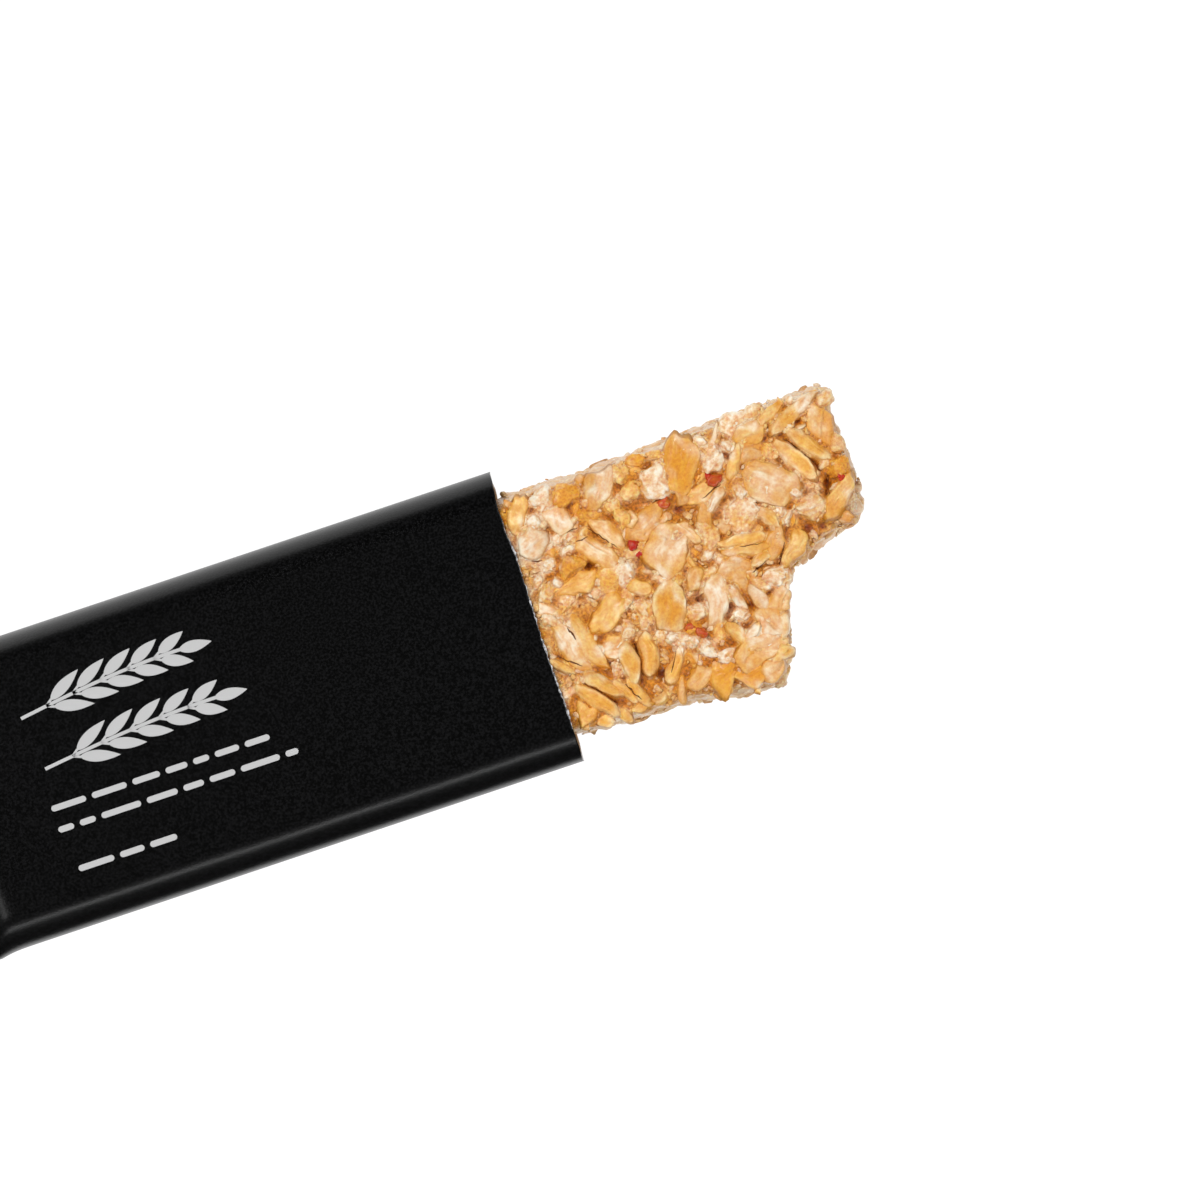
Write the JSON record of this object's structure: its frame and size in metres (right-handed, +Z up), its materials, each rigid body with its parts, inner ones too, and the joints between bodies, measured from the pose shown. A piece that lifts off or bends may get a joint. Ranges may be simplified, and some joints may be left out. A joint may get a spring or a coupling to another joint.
{
  "type": "granola bar",
  "caption": "Oat granola bar, half out of its dark film flow wrap, with a corner of its open end broken off.",
  "frame": {"origin": "on the resting plane, under the middle of the overall box", "axes": "+X along the bar from the wrapper's sealed end to the broken end, +Z up out of the face the picture shows"},
  "size_m": [0.1586, 0.052, 0.0161],
  "materials": {
    "baked_oats": "baked rolled oats and puffed grain bound with clear syrup, part matte and part glossy",
    "black_film": "matte black printed packaging film"
  },
  "bodies": {
    "root": {"bar": "baked_oats", "wrapper": "black_film"}
  },
  "joints": []
}
